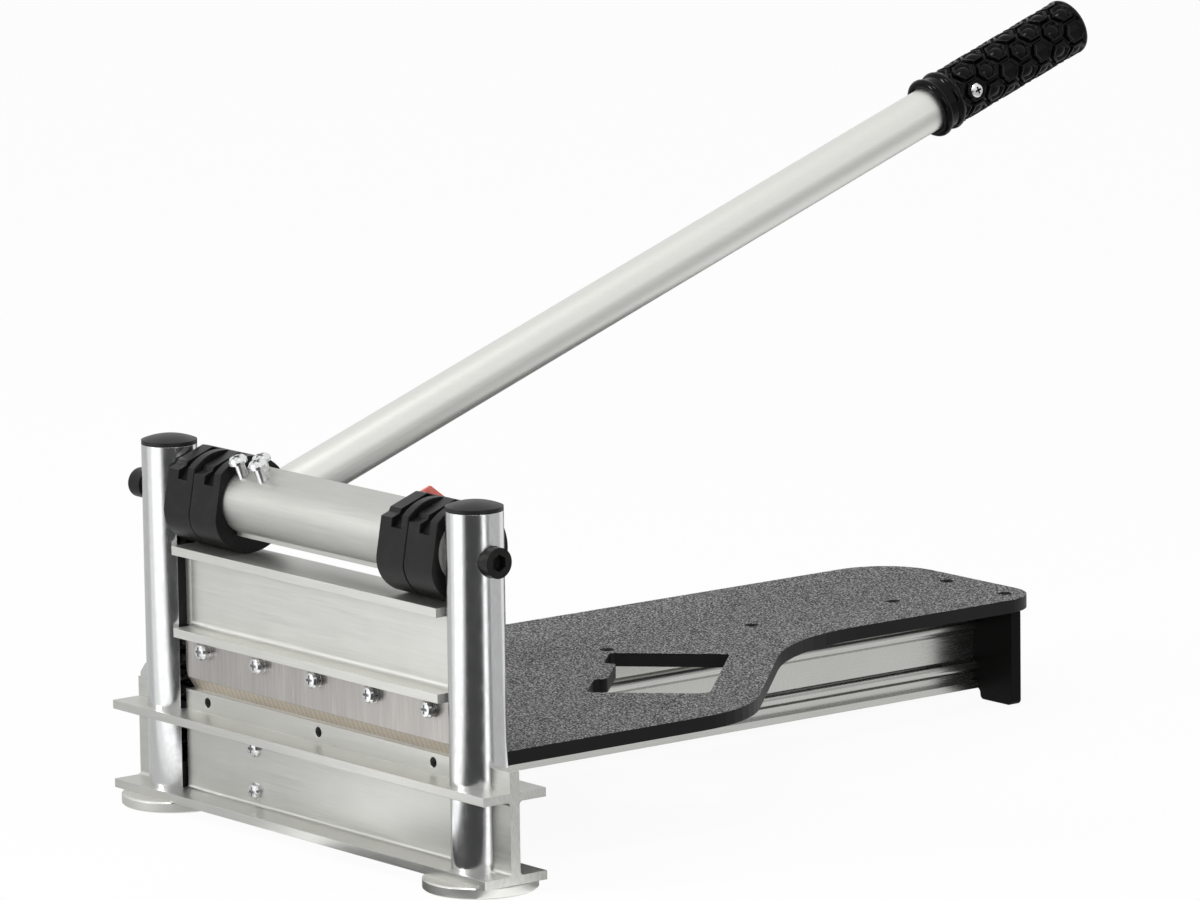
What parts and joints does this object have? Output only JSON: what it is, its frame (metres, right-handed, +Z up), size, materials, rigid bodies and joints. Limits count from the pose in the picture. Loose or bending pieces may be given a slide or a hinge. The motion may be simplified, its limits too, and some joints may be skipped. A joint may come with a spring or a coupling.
{
  "type": "laminate flooring cutter",
  "caption": "Bench guillotine cutter for laminate flooring: a long lever turns cams that press a guided blade down onto a beam in front of a small table.",
  "frame": {"origin": "on the surface that the cutter stands on, below the middle of its bounding box with the lever down", "axes": "+X along the blade to the right as seen from the front, +Y from the blade to the rear foot, +Z up"},
  "size_m": [0.329, 0.6078, 0.3932],
  "materials": {
    "beam_aluminium": "sawn and extruded, satin",
    "post_steel": "bright zinc plate",
    "cap_plastic": "moulded, fine grain",
    "disc_metal": "turned, satin",
    "black_steel": "black oxide",
    "spring_steel": "oiled wire",
    "zinc_steel": "zinc plate",
    "board_laminate": "dark board with a fine speckled grain",
    "rail_aluminium": "extruded, satin",
    "foot_plastic": "black board, smooth",
    "blade_steel": "ground across, ground bevel",
    "bar_aluminium": "extruded, satin",
    "cam_plastic": "moulded, satin",
    "lever_aluminium": "drawn tube, satin anodised",
    "grip_rubber": "glossy moulded grip",
    "red_plastic": "moulded, glossy"
  },
  "bodies": {
    "base": {"lower_beam": "beam_aluminium", "left_post": "post_steel", "right_post": "post_steel", "left_post_cap": "cap_plastic", "right_post_cap": "cap_plastic", "left_foot_disc": "disc_metal", "right_foot_disc": "disc_metal", "foot_screws": "black_steel", "left_post_plug": "black_steel", "right_post_plug": "black_steel", "left_lift_spring": "spring_steel", "right_lift_spring": "spring_steel", "left_pivot_bolt": "black_steel", "right_pivot_bolt": "black_steel", "left_pivot_sleeve": "zinc_steel", "right_pivot_sleeve": "zinc_steel", "table_board": "board_laminate", "table_screws": "black_steel", "rail": "rail_aluminium", "web_screws": "zinc_steel", "rear_foot": "foot_plastic", "rear_foot_screws": "zinc_steel", "lip_end_tab": "zinc_steel"},
    "carrier": {"blade_carrier": "beam_aluminium", "blade": "blade_steel", "blade_screws": "zinc_steel", "blade_washers": "zinc_steel", "blade_split_washers": "zinc_steel", "left_guide_shoe": "cap_plastic", "right_guide_shoe": "cap_plastic"},
    "lever": {"crossbar": "bar_aluminium", "left_outer_cam": "cam_plastic", "left_inner_cam": "cam_plastic", "right_inner_cam": "cam_plastic", "right_outer_cam": "cam_plastic", "lever_tube": "lever_aluminium", "grip": "grip_rubber", "grip_screw": "zinc_steel", "clamp_screws": "zinc_steel", "red_tab": "red_plastic"}
  },
  "joints": [
    {"name": "lever_hinge", "type": "hinge", "parent": "base", "child": "lever", "pos_m": [0, -0.27387, 0.1712], "axis": [1, 0, 0], "range_deg": [0, 75]},
    {"name": "carrier_slide", "type": "slide", "parent": "base", "child": "carrier", "axis": [0, 0, 1], "range_m": [-0.0001, 0.0095], "stiffness_N_per_m": 1000, "springref_m": 0.04, "deforming": ["left_lift_spring", "right_lift_spring"]}
  ],
  "couplings": [
    {"joint": "carrier_slide", "follows": "lever_hinge", "m_per_rad": 0.0072}
  ]
}
